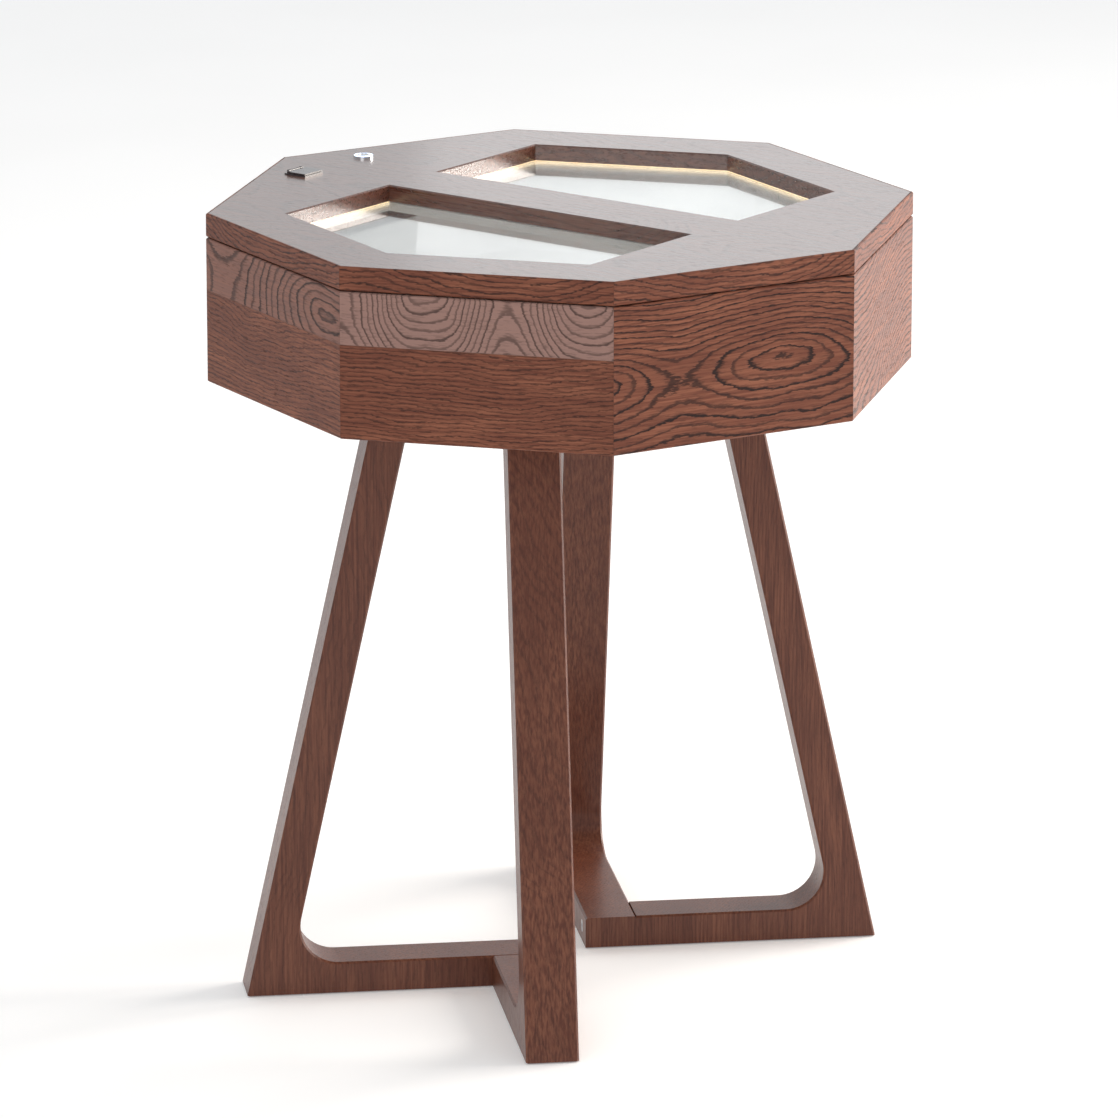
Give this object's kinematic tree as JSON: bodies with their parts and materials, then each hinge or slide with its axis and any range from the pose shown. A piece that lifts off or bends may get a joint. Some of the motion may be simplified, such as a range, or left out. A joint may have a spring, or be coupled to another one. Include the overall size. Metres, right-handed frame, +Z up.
{
  "type": "display side table",
  "caption": "Octagonal walnut side table on splayed L-shaped legs, with a hinged lid, recessed lit glass windows, a push button and a covered charging port.",
  "frame": {"origin": "on the floor, under the middle of the octagonal top", "axes": "+Z up; +X and +Y through two corners of the octagon; the controls stand at the corner between -X and +Y"},
  "size_m": [0.54, 0.54, 0.6034],
  "materials": {
    "walnut_sides": "dark stained open grain, satin",
    "walnut_lid": "dark stained open grain, satin lacquer",
    "walnut_legs": "dark stained open grain, satin",
    "plywood": "unfinished",
    "beech": "unfinished",
    "pale_laminate": "satin pale laminate",
    "pale_beads": "satin",
    "window_glass": "polished clear",
    "diffuser": "glowing warm white",
    "led_tape": "satin",
    "steel": "zinc plated",
    "bright_steel": "polished",
    "brass": "satin",
    "felt": "felt",
    "black_plastic": "moulded",
    "port_plastic": "polished",
    "circuit_board": "solder mask",
    "battery_wrap": "shrink wrap",
    "light_ring": "glowing cool white"
  },
  "bodies": {
    "table": {"side_panel_1": "walnut_sides", "side_panel_2": "walnut_sides", "side_panel_3": "walnut_sides", "side_panel_4": "walnut_sides", "side_panel_5": "walnut_sides", "side_panel_6": "walnut_sides", "side_panel_7": "walnut_sides", "side_panel_8": "walnut_sides", "mitre_keys": "plywood", "corner_blocks": "beech", "bottom_panel": "plywood", "floor_battens": "beech", "display_floor": "pale_laminate", "wall_lining": "pale_laminate", "left_leg_frame": "walnut_legs", "right_leg_frame": "walnut_legs", "front_leg_frame": "walnut_legs", "rear_leg_frame": "walnut_legs", "corner_dowels": "beech", "corner_screws": "steel", "leg_inserts": "brass", "leg_plates": "steel", "leg_bolts": "steel", "floor_glides": "felt", "box_hinge_leaves": "brass", "hinge_pins": "steel", "box_hinge_screws": "brass", "lid_bumpers": "felt", "catch_magnet": "steel"},
    "lid": {"lid_panel": "walnut_lid", "lid_edging": "walnut_lid", "front_glass": "window_glass", "rear_glass": "window_glass", "front_glass_beads": "pale_beads", "rear_glass_beads": "pale_beads", "front_diffuser": "diffuser", "rear_diffuser": "diffuser", "front_led_strip": "led_tape", "rear_led_strip": "led_tape", "bead_screws": "steel", "led_leads": "led_tape", "lid_hinge_leaves": "brass", "lid_hinge_screws": "brass", "catch_plate": "steel", "control_housing": "black_plastic", "housing_screws": "steel", "control_board": "circuit_board", "battery_pack": "battery_wrap", "button_bezel": "bright_steel", "button_light_ring": "light_ring", "button_nut": "steel", "switch_body": "black_plastic", "port_housing": "port_plastic", "usb_socket": "steel", "port_pin": "steel"},
    "button": {"power_button": "bright_steel"},
    "port_cover": {"port_cover": "port_plastic"}
  },
  "joints": [
    {"name": "lid_hinge", "type": "hinge", "parent": "table", "child": "lid", "pos_m": [-0.09676, 0.2336, 0.5815], "axis": [-0.9239, -0.3827, 0], "range_deg": [0, 95]},
    {"name": "button_press", "type": "slide", "parent": "lid", "child": "button", "axis": [0, 0, -1], "range_m": [0, 0.001], "stiffness_N_per_m": 800, "springref_m": -0.001},
    {"name": "port_cover_hinge", "type": "hinge", "parent": "lid", "child": "port_cover", "pos_m": [-0.18774, 0.13541, 0.6022], "axis": [-0.7071, -0.7071, 0], "range_deg": [0, 110]}
  ]
}
